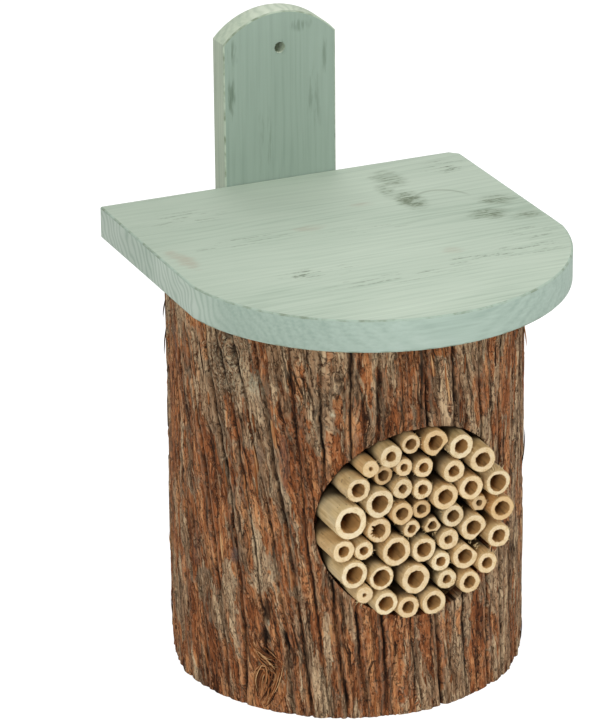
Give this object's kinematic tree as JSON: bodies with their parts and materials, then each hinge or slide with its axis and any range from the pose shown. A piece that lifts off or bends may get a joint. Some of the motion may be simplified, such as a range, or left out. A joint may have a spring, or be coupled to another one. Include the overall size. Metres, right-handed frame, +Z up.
{
  "type": "insect hotel",
  "caption": "Upright log with its bark on, bored from the front and packed with bamboo nesting tubes, under a painted D-shaped roof board and on a painted back plate with a hanging hole.",
  "frame": {"origin": "centre of the whole hotel's footprint, on the surface that the log stands on", "axes": "+Z up; the front with the tubes faces -Y; +Y points into the wall that the back plate hangs on; +X to the right seen from the front"},
  "size_m": [0.156, 0.173, 0.248],
  "materials": {
    "log_wood": "sawn end grain, bare",
    "bark": "rough fibrous bark",
    "roof_paint": "thin matt sage green stain over softwood",
    "plate_paint": "thin matt blue-green stain over softwood",
    "bamboo": "dry cane, cut ends",
    "screw_steel": "zinc plated",
    "beech": "plain turned dowel"
  },
  "bodies": {
    "root": {"log": "log_wood", "bark": "bark", "roof_board": "roof_paint", "back_plate": "plate_paint", "plate_screws": "screw_steel", "roof_dowels": "beech", "bamboo_tube_01": "bamboo", "bamboo_tube_02": "bamboo", "bamboo_tube_03": "bamboo", "bamboo_tube_04": "bamboo", "bamboo_tube_05": "bamboo", "bamboo_tube_06": "bamboo", "bamboo_tube_07": "bamboo", "bamboo_tube_08": "bamboo", "bamboo_tube_09": "bamboo", "bamboo_tube_10": "bamboo", "bamboo_tube_11": "bamboo", "bamboo_tube_12": "bamboo", "bamboo_tube_13": "bamboo", "bamboo_tube_14": "bamboo", "bamboo_tube_15": "bamboo", "bamboo_tube_16": "bamboo", "bamboo_tube_17": "bamboo", "bamboo_tube_18": "bamboo", "bamboo_tube_19": "bamboo", "bamboo_tube_20": "bamboo", "bamboo_tube_21": "bamboo", "bamboo_tube_22": "bamboo", "bamboo_tube_23": "bamboo", "bamboo_tube_24": "bamboo", "bamboo_tube_25": "bamboo", "bamboo_tube_26": "bamboo", "bamboo_tube_27": "bamboo", "bamboo_tube_28": "bamboo", "bamboo_tube_29": "bamboo", "bamboo_tube_30": "bamboo", "bamboo_tube_31": "bamboo", "bamboo_tube_32": "bamboo", "bamboo_tube_33": "bamboo", "bamboo_tube_34": "bamboo", "bamboo_tube_35": "bamboo", "bamboo_tube_36": "bamboo", "bamboo_tube_37": "bamboo", "bamboo_tube_38": "bamboo", "bamboo_tube_39": "bamboo", "bamboo_tube_40": "bamboo", "bamboo_tube_41": "bamboo", "bamboo_tube_42": "bamboo", "bamboo_tube_43": "bamboo", "bamboo_tube_44": "bamboo", "bamboo_tube_45": "bamboo"}
  },
  "joints": []
}
